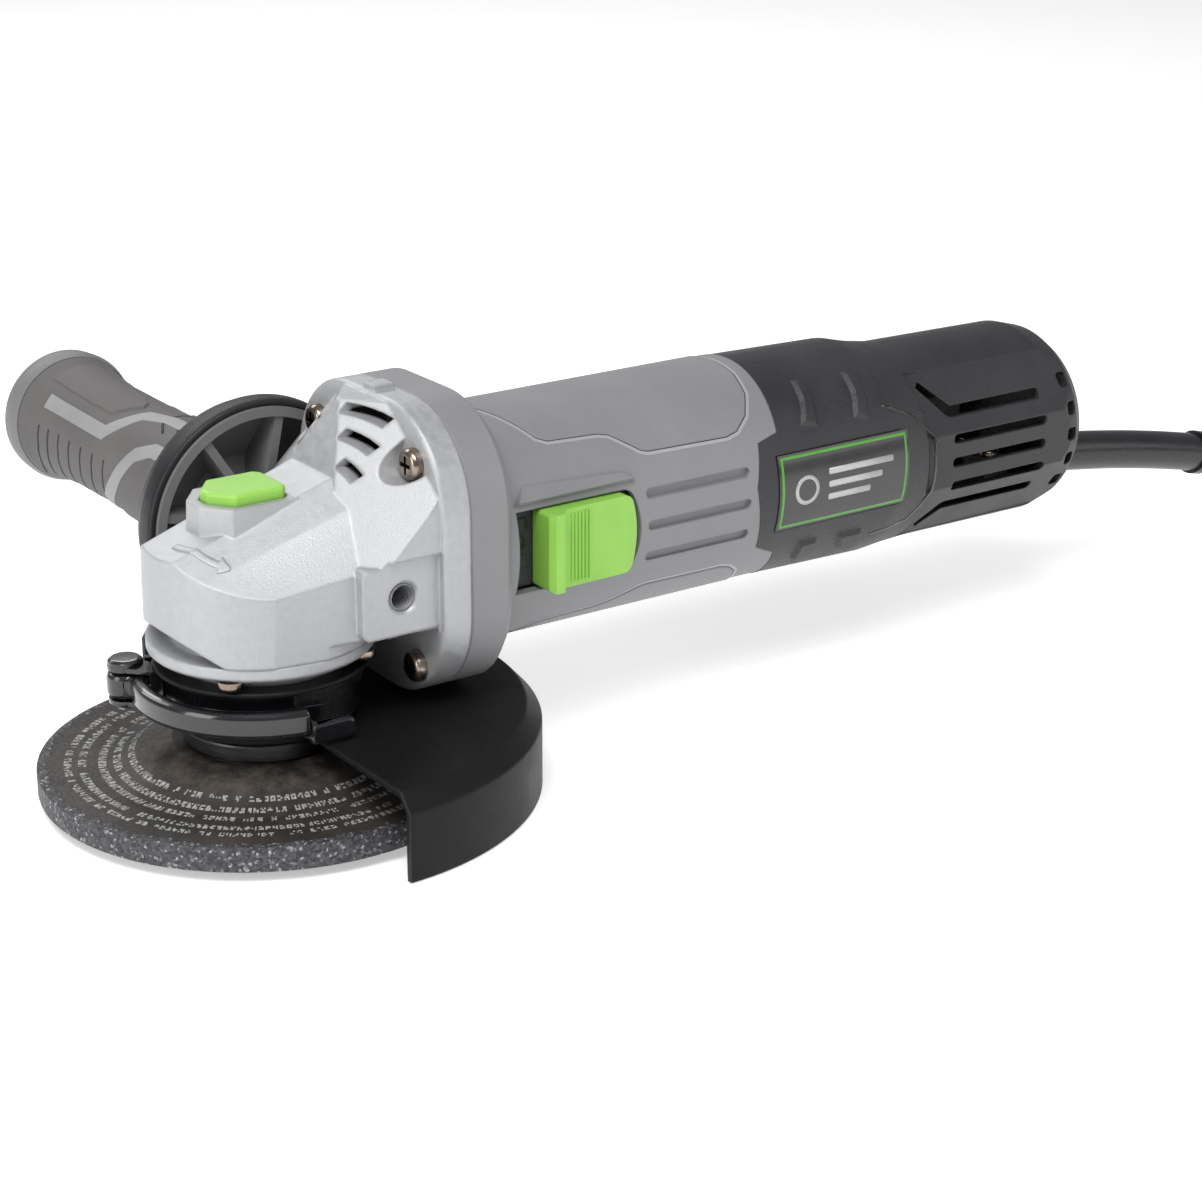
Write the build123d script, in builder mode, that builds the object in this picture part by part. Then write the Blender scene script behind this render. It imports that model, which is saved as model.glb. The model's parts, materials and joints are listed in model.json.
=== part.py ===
from build123d import *
import os
from math import atan, cos, degrees, pi, radians, sin, tan

# Angle grinder for 115 mm discs.
# Frame: millimetres, +Z along the spindle away from the wheel, +X towards the cord, +Y towards
# the side handle. The origin is the centre of the spindle's nose.

# ---- driving dimensions ----
motor_z = 58.5            # motor axis above the spindle nose
handle_x = 22.0           # side handle axis
handle_z = 55.0
part_x = 40.0             # joint between gear case and motor housing
body_r = 31.0             # motor housing
flange_w = 72.0           # gear case flange
flange_h = 76.2
flange_r = 26.0
flange_z = 60.1
wheel_r = 57.5
wheel_t = 6.35
wheel_low = 1.65          # underside of the wheel
hub_top = 13.5            # where the wheel's hub meets the inner flange
thread_r = 7.94           # 5/8 inch spindle thread
case_low = 41.5           # underside of the gear case
plate_low = 38.0          # underside of the bearing plate
neck_r = 21.5             # neck that carries the guard
neck_low = 22.0
guard_r = 70.4
guard_top = 21.3
steel = 1.8
running = 0.05            # radial clearance of a shaft in its bearing
rear_x = 262.0            # end of the rear housing
rear_r = 28.4
sleeve_z = 41.6
stud_r = 3.55             # M8 stud and its threaded hole, as core cylinders
boss_y = 33.2             # faces of the two handle bosses

motor_axis = Axis((0, 0, motor_z), (1, 0, 0))
handle_axis = Axis((handle_x, 0, handle_z), (0, 1, 0))
along_motor = Plane(origin=(0, 0, motor_z), x_dir=(1, 0, 0), z_dir=(0, -1, 0))
along_handle = Plane(origin=(handle_x, 0, handle_z), x_dir=(0, 1, 0), z_dir=(1, 0, 0))

os.makedirs("parts", exist_ok=True)


# ---- helpers ----
def save(piece, name):
    """Label a finished piece and write its STEP file."""
    piece.part.label = name
    export_step(piece.part, f"parts/{name}.step")


def across(x, z=motor_z):
    """Plane across the tool at x: local x is +Y, local y is +Z."""
    return Plane(origin=(x, 0, z), x_dir=(0, 1, 0), z_dir=(1, 0, 0))


def turned(profile, plane=Plane.XZ, axis=Axis.Z):
    """Solid of revolution from a closed (along, radius) or (radius, z) outline."""
    with BuildPart() as body:
        with BuildSketch(plane):
            with BuildLine():
                Polyline(*profile, close=True)
            make_face()
        revolve(axis=axis)
    return body


def on_motor(profile):
    """Turned piece on the motor axis, outline in (x, radius)."""
    return turned(profile, along_motor, motor_axis)


def plane_past(a, b, c, inside, inset=0.0):
    """Plane through three points, facing away from inside and moved inwards by inset."""
    normal = (Vector(*b) - Vector(*a)).cross(Vector(*c) - Vector(*a)).normalized()
    if normal.dot(Vector(*inside) - Vector(*a)) > 0:
        normal = -normal
    return Plane(origin=Vector(*a) - normal * inset, z_dir=normal)


def ring_sector(x0, x1, r0, r1, start, end):
    """Piece of a tube about the motor axis; angles from straight up, positive towards +Y."""
    with BuildPart() as sector:
        with BuildSketch(across(x0)):
            with BuildLine():
                inner = CenterArc((0, 0), r0, 90 - end, end - start)
                outer = CenterArc((0, 0), r1, 90 - end, end - start)
                Line(inner @ 0, outer @ 0)
                Line(inner @ 1, outer @ 1)
            make_face()
        extrude(amount=x1 - x0)
    return sector


def bearing(plane, bore, outside, width, balls):
    """Deep-groove ball bearing: two races and its balls, standing on the plane along its normal."""
    middle = (bore + outside) / 2
    ball = 0.27 * (outside - bore)
    with BuildPart() as races:
        with BuildSketch():
            Circle(outside)
            Circle(middle + ball * 0.75, mode=Mode.SUBTRACT)
            Circle(middle - ball * 0.75)
            Circle(bore, mode=Mode.SUBTRACT)
        extrude(amount=width)
        with BuildSketch(Plane.XZ):
            with Locations((middle, width / 2)):
                Circle(ball * 1.03)
        revolve(axis=Axis.Z, mode=Mode.SUBTRACT)
        with Locations((0, 0, width / 2)):
            with PolarLocations(middle, balls):
                Sphere(ball)
    races.part = plane.location * races.part
    return races


def pan_screw(plane, places, head_r, head_h, shank_r, length):
    """Pan-head screws with a cross recess; each head stands on the plane, each shank goes below."""
    with BuildPart() as screws:
        with Locations(*places):
            Cylinder(head_r, head_h, align=(Align.CENTER, Align.CENTER, Align.MIN))
        fillet(screws.edges().group_by(Axis.Z)[-1], head_h * 0.55)
        with BuildSketch(Plane.XY.offset(head_h)):
            with Locations(*places):
                Rectangle(head_r * 1.15, head_r * 0.26)
                Rectangle(head_r * 0.26, head_r * 1.15)
        extrude(amount=-head_h * 0.7, mode=Mode.SUBTRACT)
        with Locations(*places):
            Cylinder(shank_r, length, align=(Align.CENTER, Align.CENTER, Align.MAX))
    screws.part = plane.location * screws.part
    return screws


# ---- bevel gears ----
crown_teeth = 37
pinion_teeth = 10
cone = 20.0                                   # outer cone distance
face = 6.5                                    # tooth length along the cone
crown_angle = degrees(atan(crown_teeth / pinion_teeth))
pinion_angle = 90 - crown_angle
module = 2 * cone * sin(radians(crown_angle)) / crown_teeth
addendum = 0.8 * module
dedendum = 1.05 * module
tooth_w = 0.40 * pi * module                  # width at the pitch cone, slim for backlash
flank = 22.0


def cone_point(angle, along, out):
    """(radius, axial) of a point at a share of the cone distance and a height off the pitch cone."""
    a = radians(angle)
    return ((cone * sin(a) + out * cos(a)) * along, (cone * cos(a) - out * sin(a)) * along)


def bevel_tooth(angle):
    """One straight bevel tooth with flat faces, apex at the local origin, cone opening along +Z."""
    a = radians(angle)
    top = tooth_w / 2 - addendum * tan(radians(flank))
    root_depth = dedendum + 0.25
    root = tooth_w / 2 + root_depth * tan(radians(flank))
    outer_end = Plane(origin=Vector(sin(a), 0, cos(a)) * cone, x_dir=(0, -1, 0), z_dir=(sin(a), 0, cos(a)))
    outer = [outer_end.from_local_coords(Vector(x, y))
             for x, y in ((-root, -root_depth), (root, -root_depth), (top, addendum), (-top, addendum))]
    inner = [corner * ((cone - face) / cone) for corner in outer]
    rings = [outer, inner] + [[outer[i - 1], outer[i], inner[i], inner[i - 1]] for i in range(4)]
    return Solid(Shell([Face(Wire.make_polygon(ring, close=True)) for ring in rings]))


def gear_blank(angle, back):
    """Root-cone outline points (radius, axial) of a bevel gear, from its inner to its outer end."""
    inner = (cone - face) / cone
    return [cone_point(angle, inner, -dedendum), cone_point(angle, 1.0, -dedendum)] + back


def bevel_gear(plane, angle, teeth, turn, outline):
    """Bevel gear on the plane, its apex at the plane's origin and its cone opening along the normal."""
    tooth = bevel_tooth(angle)
    with BuildPart() as gear:
        with BuildSketch(Plane.XZ):
            with BuildLine():
                Polyline(*outline, close=True)
            make_face()
        revolve(axis=Axis.Z)
        with PolarLocations(0, teeth, start_angle=turn):
            add(tooth)
        if angle > 45:
            with BuildSketch():
                with PolarLocations(lock_r, lock_pockets):
                    SlotOverall(6.4, 5, rotation=90)
            extrude(amount=20, mode=Mode.SUBTRACT)
    gear.part = plane.location * gear.part
    return gear


# ---- gear case ----
lock_r = 10.5             # radius of the lock pin's circle on the crown gear
lock_pockets = 8
lock_floor = 71.0         # floor of the button's recess
boss_top = 77.5
ridge_top = (24.5, 0, 98.3)
ridge_foot = (16.4, 11.0, 81.7)
vent_edge = (29.5, 13.5, 92.5)
screw_y = 23.3
screw_z = 26.5
plate_screw = 18.4        # half the spacing of the four plate screws


def mirrored(point):
    return (point[0], -point[1], point[2])


def exhaust_hump(inset, back):
    """Three-sided hump that rises to the flange, or its hollow when inset is more than 0."""
    inside = (32, 0, 75)
    with BuildPart() as hump:
        with BuildSketch(across(back, flange_z)):
            RectangleRounded(flange_w - 3 - 2 * inset, flange_h - 1.5 - 2 * inset,
                             flange_r - 1.5 - inset)
        extrude(amount=-(back - 12))
        for a, b, c in ((ridge_top, ridge_foot, mirrored(ridge_foot)),
                        (ridge_top, ridge_foot, vent_edge),
                        (ridge_top, mirrored(ridge_foot), mirrored(vent_edge))):
            split(bisect_by=plane_past(a, b, c, inside, inset), keep=Keep.BOTTOM)
        split(bisect_by=Plane.XY.offset(62), keep=Keep.TOP)
    return hump


def lock_outline(grow):
    """Plan outline of the lock button, pointed towards the nose."""
    with BuildSketch() as plan:
        with BuildLine():
            Polyline((-14.2, 1.8), (-9.5, 8), (3.6, 8), (5.2, 6), (5.2, -6), (3.6, -8), (-9.5, -8),
                     (-14.2, -1.8), close=True)
        make_face()
        fillet(plan.vertices(), 1.2)
        if grow > 0:
            offset(amount=grow)
    return plan


lock_plan = lock_outline(0)
recess_plan = lock_outline(0.35)
hump = exhaust_hump(0, 33)
duct = exhaust_hump(2.6, part_x + 1)
duct_top = duct.part & Pos(30, 0, 93) * Box(60, 60, 33)
duct_top = duct_top - [Pos(20, y, flange_z + screw_z - 0.4) * Rot(0, 90, 0) * Cylinder(7.4, 30)
                       for y in (screw_y, -screw_y)]
vents = [ring_sector(12, 36, low, high, start, end)
         for low, high, near, far in ((35.9, 38.4, 3.5, 21.5), (31.0, 33.5, 10.5, 27.5), (26.2, 28.7, 21, 35))
         for start, end in ((near, far), (-far, -near))]

with BuildPart() as case_flange:
    with BuildSketch(across(32, flange_z)):
        RectangleRounded(flange_w, flange_h, flange_r)
    extrude(amount=part_x - 32)
    fillet(case_flange.edges().group_by(Axis.X)[0], 1.2)

with BuildPart() as gear_case:
    # faceted upper body, trimmed to its rounded plan
    for x, half in ((-30, [(24, case_low), (24, 56.5), (16, 60.8), (8, 65.8)]),
                    (part_x, [(34.2, case_low), (34.2, 66), (20, 82.5), (11, 88.5)])):
        with BuildSketch(across(x, 0)):
            with BuildLine():
                Polyline(*half, *[(-y, z) for y, z in reversed(half)], close=True)
            make_face()
    loft(ruled=True)
    with BuildSketch(Plane.XY.offset(case_low)):
        Circle(28.9)
        with BuildLine():
            Polyline((-14.6, 25), (8, 31.2), (34, 32.9), (34, -32.9), (8, -31.2), (-14.6, -25), close=True)
        make_face()
    extrude(amount=60, taper=0.8, mode=Mode.INTERSECT)
    # pockets beside the gearbox bowl, below the handle bosses
    with BuildSketch(Plane.XY.offset(case_low)):
        Rectangle(90, 90)
        Circle(29.0, mode=Mode.SUBTRACT)
        with Locations((16, 0)):
            Rectangle(34, 22, mode=Mode.SUBTRACT)
    extrude(amount=3.4, mode=Mode.SUBTRACT)
    # bow of the nose
    with BuildSketch(Plane.XZ):
        with BuildLine():
            Polyline((-32, 40), (-20.5, 40), (-20.5, case_low), (-32, 50.5), close=True)
        make_face()
    extrude(amount=40, both=True, mode=Mode.SUBTRACT)
    # web down to the flange, hump and flange
    with BuildSketch(Plane.XY.offset(36)):
        with Locations((31.1, 0)):
            Rectangle(3.8, 26)
    extrude(amount=14)
    add(hump.part)
    add(case_flange.part)
    # small casting lugs on the flange's rim
    with Locations((36, 0, 98.0), (36, 25.0, 90.0), (36, -25.0, 90.0)):
        Box(6, 5, 3.4)
    # handle bosses
    with BuildSketch(Plane(origin=(0, 0, 0), x_dir=(1, 0, 0), z_dir=(0, -1, 0))):
        with Locations((21.5, handle_z - 0.4)):
            RectangleRounded(22, 18.2, 2)
    extrude(amount=boss_y, both=True)
    # boss for the lock button
    with BuildSketch(Plane.XY.offset(60)):
        with BuildLine():
            Polyline((-17.8, -3.5), (-12, -11), (6.5, -11), (9.5, -8), (9.5, 8), (6.5, 11), (-12, 11),
                     (-17.8, 3.5), close=True)
        make_face()
    extrude(amount=boss_top - 60, taper=2)
    # teardrop recesses round the flange screws
    with BuildSketch(across(32)):
        with Locations((screw_y, screw_z + 1.2), (-screw_y, screw_z + 1.2)):
            Circle(5.6)
        for side in (1, -1):
            with BuildLine():
                Polyline((side * (screw_y - 5.4), screw_z + 2.7), (side * (screw_y - 3.2), screw_z + 9.4),
                         (side * (screw_y + 3.4), screw_z + 5.6), close=True)
            make_face()
    extrude(amount=-22, mode=Mode.SUBTRACT)
    # gear chamber, pinion passage and motor bearing seat
    with BuildSketch(Plane.XY.offset(case_low - 12)):
        Circle(23)
    extrude(amount=28, mode=Mode.SUBTRACT)
    for start, radius in ((0, 8.6), (27, 13), (36, 27)):
        with BuildSketch(across(start)):
            Circle(radius)
        extrude(amount=part_x + 1 - start, mode=Mode.SUBTRACT)
    # seat of the upper spindle bush
    with Locations((0, 0, 57.5)):
        Cylinder(9.5, 10, align=(Align.CENTER, Align.CENTER, Align.MIN))
        Cylinder(6.5, 8.5, align=(Align.CENTER, Align.CENTER, Align.MIN), mode=Mode.SUBTRACT)
    # exhaust duct and its curved slots
    add(duct_top, mode=Mode.SUBTRACT)
    for vent in vents:
        add(vent.part, mode=Mode.SUBTRACT)
    # recess, counterbore and bore of the spindle lock
    with BuildSketch(Plane.XY.offset(lock_floor)):
        add(recess_plan.sketch)
    extrude(amount=20, mode=Mode.SUBTRACT)
    with Locations((-lock_r, 0, 65.5)):
        Cylinder(3.7, 10, align=(Align.CENTER, Align.CENTER, Align.MIN), mode=Mode.SUBTRACT)
    with Locations((-lock_r, 0, 50)):
        Cylinder(2 + running, 20, align=(Align.CENTER, Align.CENTER, Align.MIN), mode=Mode.SUBTRACT)
    # flat seats round the handle holes
    with Locations((21.5, boss_y + 4, handle_z - 0.4), (21.5, -boss_y - 4, handle_z - 0.4)):
        Box(21.4, 8, 20.6, mode=Mode.SUBTRACT)
    # threaded handle holes, with a lead-in
    for side in (1, -1):
        with Locations(Plane(origin=(handle_x, side * boss_y, handle_z), z_dir=(0, side, 0))):
            CounterSinkHole(stud_r + running, 4.5, depth=14)
    # screw bosses in the duct, holes for the case screws and the plate screws
    with BuildSketch(across(32)):
        with GridLocations(2 * screw_y, 2 * screw_z, 2, 2):
            Circle(4.6)
    extrude(amount=part_x - 32)
    with BuildSketch(across(30)):
        with GridLocations(2 * screw_y, 2 * screw_z, 2, 2):
            Circle(2.2)
    extrude(amount=20, mode=Mode.SUBTRACT)
    with BuildSketch(Plane.XY.offset(case_low)):
        with GridLocations(2 * plate_screw, 2 * plate_screw, 2, 2):
            Circle(1.9)
    extrude(amount=9, mode=Mode.SUBTRACT)
save(gear_case, "gear_case")


# ---- bearing plate and its fasteners ----
with BuildPart() as bearing_plate:
    with BuildSketch(Plane.XY.offset(plate_low)):
        Circle(28.7)
    extrude(amount=case_low - plate_low)
    chamfer(bearing_plate.edges().group_by(Axis.Z)[0], 0.8)
    with BuildSketch(Plane.XY.offset(neck_low)):
        Circle(neck_r)
    extrude(amount=plate_low - neck_low + 1)
    with BuildSketch(Plane.XY.offset(case_low)):
        Circle(22.9)
    extrude(amount=2)
    for floor, radius in ((neck_low - 1, 10.4), (24, 14), (27, 17.5)):
        with BuildSketch(Plane.XY.offset(floor)):
            Circle(radius)
        extrude(amount=30, mode=Mode.SUBTRACT)
    with Locations((0, 0, plate_low - 5)):
        with GridLocations(2 * plate_screw, 2 * plate_screw, 2, 2):
            Cylinder(2.05, 20, mode=Mode.SUBTRACT)
save(bearing_plate, "bearing_plate")

plate_screws = pan_screw(Plane(origin=(0, 0, plate_low), x_dir=(1, 0, 0), z_dir=(0, 0, -1)),
                         [(x, y) for x in (plate_screw, -plate_screw) for y in (plate_screw, -plate_screw)],
                         3.4, 2.7, 1.85, 11)
save(plate_screws, "plate_screws")

case_screws = pan_screw(Plane(origin=(32, 0, motor_z), x_dir=(0, 1, 0), z_dir=(-1, 0, 0)),
                        [(y, z) for y in (screw_y, -screw_y) for z in (screw_z, -screw_z)],
                        4.1, 3.0, 2.1, 19.5)
save(case_screws, "case_screws")

spindle_bearing = bearing(Plane.XY.offset(27), 7.5, 17.5, 11, 9)
save(spindle_bearing, "spindle_bearing")

spindle_seal = turned([(9.7, 24.3), (13.95, 24.3), (13.95, 26.8), (9.7, 26.8)])
save(spindle_seal, "spindle_seal")

upper_bush = turned([(4.05, 57.5), (6.45, 57.5), (6.45, 65.8), (4.05, 65.8)])
save(upper_bush, "upper_bush")

# ---- spindle, crown gear and wheel stack ----
spindle = turned([(0, 0), (thread_r - 0.8, 0), (thread_r, 0.8), (thread_r, 21), (9.5, 21), (9.5, 26.9),
                  (7.45, 26.9), (7.45, 38.2), (6.4, 38.2), (6.4, 52.6), (4.0, 52.6), (4.0, 65.4),
                  (0, 65.4)])
save(spindle, "spindle")

inner_flange = turned([(8.0, 9.5), (11.1, 9.5), (11.1, hub_top), (20.6, hub_top), (20.9, hub_top + 0.3),
                       (20.9, 17.9), (20.4, 18.4), (13.5, 18.4), (13.5, 20.95), (8.0, 20.95)])
save(inner_flange, "inner_flange")

wheel = turned([(11.9, hub_top), (11.9, 7.5), (21.5, 7.5), (25, 6.6), (34, 2.4), (37.5, wheel_low),
                (wheel_r, wheel_low), (wheel_r, wheel_low + wheel_t), (40.5, wheel_low + wheel_t),
                (36.5, 8.9), (27.5, 12.6), (23.5, hub_top)])
save(wheel, "wheel")

wheel_bush = turned([(11.2, 7.5), (11.85, 7.5), (11.85, hub_top - 0.05), (11.2, hub_top - 0.05)])
save(wheel_bush, "wheel_bush")

with BuildPart() as lock_nut:
    with BuildSketch(Plane.XY.offset(4.6)):
        Circle(19)
    extrude(amount=2.9)
    with BuildSketch(Plane.XY.offset(3)):
        Circle(15)
    extrude(amount=1.6)
    chamfer(lock_nut.edges().group_by(Axis.Z)[0], 0.6)
    with Locations((0, 0, 3)):
        with PolarLocations(11.6, 4):
            Cylinder(2.0, 5, mode=Mode.SUBTRACT)
        Cylinder(8.0, 30, mode=Mode.SUBTRACT)
save(lock_nut, "lock_nut")

crown_plane = Plane(origin=(0, 0, motor_z), x_dir=(1, 0, 0), z_dir=(0, 0, -1))
crown_gear = bevel_gear(crown_plane, crown_angle, crown_teeth, 180 / crown_teeth,
                        gear_blank(crown_angle, [(20.3, 8.2), (19.0, 11.5), (12, 15.5), (6.45, 15.5),
                                                 (6.45, 6.5), (7.8, 6.5), (7.8, 8.2), (12.6, 8.2)]))
save(crown_gear, "crown_gear")

# ---- spindle lock ----
with BuildPart() as lock_button:
    with BuildSketch(Plane.XY.offset(74.8)):
        add(lock_outline(0).sketch)
    extrude(amount=5.4)
    fillet(lock_button.edges().group_by(Axis.Z)[-1], 0.9)
    with Locations((-lock_r, 0, 74.8)):
        Cylinder(2.0, 2.2, align=(Align.CENTER, Align.CENTER, Align.MIN), mode=Mode.SUBTRACT)
save(lock_button, "lock_button")

lock_pin = turned([(0, 51.2), (1.5, 51.2), (2, 51.7), (2, 76.9), (0, 76.9)])
lock_pin.part = Pos(-lock_r, 0, 0) * lock_pin.part
save(lock_pin, "lock_pin")

with BuildPart() as lock_spring:
    with BuildSketch(Plane.XY.offset(65.6)):
        with Locations((-lock_r, 0)):
            Circle(3.4)
            Circle(2.4, mode=Mode.SUBTRACT)
    extrude(amount=9.1)
save(lock_spring, "lock_spring")

# ---- guard, clamp band and lever ----
band_low = 23.2
band_top = 33.4
band_in = 23.6
band_out = 25.2
gap = 150.0               # direction of the clamp's gap, seen from the spindle
pivot_r = 34.1            # lever pivot, along that direction
clamp_plane = Plane(origin=(0, 0, 0), x_dir=(cos(radians(gap)), sin(radians(gap)), 0), z_dir=(0, 0, 1))

with BuildPart() as guard_shell:
    with BuildSketch(Plane.XZ):
        with BuildLine():
            Polyline((22, guard_top - steel), (guard_r - 4.5, guard_top - steel),
                     (guard_r - steel, guard_top - 5), (guard_r - steel, -0.2), (guard_r - 2.6, -1),
                     (guard_r, -1), (guard_r, guard_top - 4.4), (guard_r - 4, guard_top),
                     (22, guard_top), close=True)
        make_face()
    revolve(axis=Axis.Z, revolution_arc=180)

with BuildPart() as guard:
    add(Rot(0, 0, -90) * guard_shell.part)
    # neck that turns on the bearing plate, with its lip
    with BuildSketch(Plane.XY.offset(guard_top - steel)):
        Circle(23.5)
        Circle(neck_r + 0.5, mode=Mode.SUBTRACT)
    extrude(amount=34.8 - guard_top + steel)
    with BuildSketch(Plane.XY.offset(33.6)):
        Circle(27.5)
        Circle(neck_r + 0.5, mode=Mode.SUBTRACT)
    extrude(amount=1.2)
    # slit that lets the neck close
    with BuildSketch(clamp_plane.offset(guard_top - 3)):
        with Locations((25, 0)):
            Rectangle(9, 3)
    extrude(amount=20, mode=Mode.SUBTRACT)
save(guard, "guard")

with BuildPart() as clamp_band:
    with BuildSketch(clamp_plane.offset(band_low)):
        Circle(band_out)
        Circle(band_in, mode=Mode.SUBTRACT)
        with Locations((band_out, 0)):
            Rectangle(12, 6, mode=Mode.SUBTRACT)
        # ear for the screw's head and block for its thread
        with Locations((27, -3.9)):
            Rectangle(5.2, 1.8)
        with Locations((26.1, 5)):
            Rectangle(3.0, 4)
    extrude(amount=band_top - band_low)
    # lugs above and below the lever
    for floor in (band_low, band_top - 1.2):
        with BuildSketch(clamp_plane.offset(floor)):
            with BuildLine():
                Polyline((25, 3), (25, 7), (33.5, 4.6), (38, 2.4), (38, -2.4), (33.5, -4.6), (29.5, -1),
                         close=True)
            make_face()
            with Locations((pivot_r, 0)):
                Circle(4.6)
        extrude(amount=1.2)
    with BuildSketch(clamp_plane.offset(band_low - 1)):
        with Locations((pivot_r, 0)):
            Circle(2.0)
    extrude(amount=20, mode=Mode.SUBTRACT)
    with BuildSketch(Plane(origin=clamp_plane.from_local_coords((26.9, -8, 28.3)),
                           z_dir=clamp_plane.y_dir)):
        Circle(1.1)
    extrude(amount=20, mode=Mode.SUBTRACT)
save(clamp_band, "clamp_band")

screw_plane = Plane(origin=clamp_plane.from_local_coords((26.9, -4.8, 28.3)), z_dir=-clamp_plane.y_dir)
band_screw = pan_screw(screw_plane, [(0, 0)], 1.95, 1.8, 1.1, 11.4)
save(band_screw, "band_screw")

lever_rivet = turned([(0, 22.3), (3.2, 22.3), (3.2, 23.2), (2.0, 23.2), (2.0, band_top), (4.5, band_top),
                      (4.4, 34.3), (3.6, 34.9), (0, 35.0)])
lever_rivet.part = clamp_plane.location * Pos(pivot_r, 0, 0) * lever_rivet.part
save(lever_rivet, "lever_rivet")

with BuildPart() as clamp_lever:
    with BuildSketch(clamp_plane.offset(24.7)):
        with BuildLine():
            inner = CenterArc((0, 0), 28.9, 4, 108)
            outer = CenterArc((0, 0), 33.2, 4, 108)
            Line(inner @ 0, outer @ 0)
            Line(inner @ 1, outer @ 1)
        make_face()
        with Locations((pivot_r, 0)):
            Circle(4.9)
    extrude(amount=6.9)
    # thinner thumb end
    with Locations((1.6, -32.1, 24.9)):
        Box(12.4, 2.2, 5.4)
    with BuildSketch(clamp_plane.offset(20)):
        with Locations((pivot_r, 0)):
            Circle(2.0 + running)
    extrude(amount=20, mode=Mode.SUBTRACT)
save(clamp_lever, "clamp_lever")

# ---- armature ----
pinion = bevel_gear(Plane(origin=(0, 0, motor_z), x_dir=(0, 0, -1), z_dir=(1, 0, 0)), pinion_angle,
                    pinion_teeth, 0,
                    gear_blank(pinion_angle, [(6, 19.6), (6, 26), (3.5, 26), (3.5, 19.9), (0, 19.9),
                                              (0, 13.4)]))
save(pinion, "pinion")

armature_shaft = on_motor([(20, 0), (20, 3.45), (27, 3.45), (27, 4.95), (36, 4.95), (36, 5.0), (148, 5.0),
                           (148, 3.95), (158, 3.95), (158, 0)])
save(armature_shaft, "armature_shaft")

front_bearing = bearing(across(27), 5, 12.95, 8, 8)
save(front_bearing, "front_bearing")

with BuildPart() as fan:
    with BuildSketch(across(50.4)):
        Circle(26)
        Circle(5.0, mode=Mode.SUBTRACT)
    extrude(amount=1.6)
    with BuildSketch(across(43)):
        Circle(7.5)
        Circle(5.0, mode=Mode.SUBTRACT)
    extrude(amount=8)
    with BuildSketch(across(44)):
        with PolarLocations(17.5, 15):
            Rectangle(16.6, 1.2, rotation=24)
    extrude(amount=6.6)
save(fan, "fan")

with BuildPart() as armature_core:
    with BuildSketch(across(62)):
        Circle(17.5)
        Circle(5.0, mode=Mode.SUBTRACT)
        with PolarLocations(14, 12):
            Rectangle(6.4, 3.0, mode=Mode.SUBTRACT)
        with PolarLocations(17, 12):
            Rectangle(2.4, 1.3, mode=Mode.SUBTRACT)
    extrude(amount=50)
save(armature_core, "armature_core")

with BuildPart() as armature_windings:
    with BuildSketch(across(55)):
        with PolarLocations(13.8, 12):
            Rectangle(5.6, 2.5)
    extrude(amount=65)
    for start, length in ((55, 6.9), (112.1, 9.9)):
        with BuildSketch(across(start)):
            Circle(15.8)
            Circle(5.4, mode=Mode.SUBTRACT)
        extrude(amount=length)
save(armature_windings, "armature_windings")

with BuildPart() as commutator:
    with BuildSketch(across(124)):
        Circle(11)
        Circle(5.0, mode=Mode.SUBTRACT)
        with PolarLocations(11, 24):
            Rectangle(1.6, 0.5, mode=Mode.SUBTRACT)
    extrude(amount=16)
    with BuildSketch(across(122.2)):
        Circle(12)
        Circle(5.0, mode=Mode.SUBTRACT)
    extrude(amount=2)
save(commutator, "commutator")

rear_bearing = bearing(across(150), 4, 11, 7, 7)
save(rear_bearing, "rear_bearing")

bearing_sleeve = on_motor([(149.8, 11.05), (157.2, 11.05), (157.2, 12.2), (149.8, 12.2)])
save(bearing_sleeve, "bearing_sleeve")

# ---- stator and brushes ----
coil_windows = [ring_sector(59, 115, 18, 25.6, centre + side * 55 - 9.5, centre + side * 55 + 9.5)
                for centre in (0, 180) for side in (1, -1)]
with BuildPart() as stator_core:
    with BuildSketch(across(60)):
        Circle(27.5)
        Rectangle(49, 80, mode=Mode.INTERSECT)
        Circle(18.1, mode=Mode.SUBTRACT)
    extrude(amount=54)
    for window in coil_windows:
        add(window.part, mode=Mode.SUBTRACT)
save(stator_core, "stator_core")

coil_ends = [ring_sector(start, start + 5.2, 19, 25.2, centre - 62.5, centre + 62.5)
             for centre in (0, 180) for start in (54.5, 114.3)]
coil_legs = [ring_sector(55, 119, 19, 25.2, centre + side * 55 - 7.5, centre + side * 55 + 7.5)
             for centre in (0, 180) for side in (1, -1)]
with BuildPart() as stator_coils:
    for piece in coil_ends + coil_legs:
        add(piece.part)
save(stator_coils, "stator_coils")

air_baffle = on_motor([(52.9, 19), (53.9, 19), (53.9, 28.2), (52.9, 28.2)])
save(air_baffle, "air_baffle")

with BuildPart() as brush_holders:
    for side in (1, -1):
        with BuildSketch(Plane(origin=(132, 0, motor_z + side * 12.4), z_dir=(0, 0, side))):
            Rectangle(9, 11)
        extrude(amount=14.8)
        with BuildSketch(Plane(origin=(132, 0, motor_z + side * 12), z_dir=(0, 0, side))):
            Rectangle(6.3, 8.3)
        extrude(amount=14.2, mode=Mode.SUBTRACT)
save(brush_holders, "brush_holders")

with BuildPart() as brushes:
    for side in (1, -1):
        with Locations((132, 0, motor_z + side * 16.6)):
            Box(6.1, 8.1, 11)
save(brushes, "brushes")

with BuildPart() as brush_springs:
    for side in (1, -1):
        with BuildSketch(Plane(origin=(132, 0, motor_z + side * 22.1), z_dir=(0, 0, side))):
            Circle(2.8)
            Circle(2.0, mode=Mode.SUBTRACT)
        extrude(amount=4.1)
save(brush_springs, "brush_springs")

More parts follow.
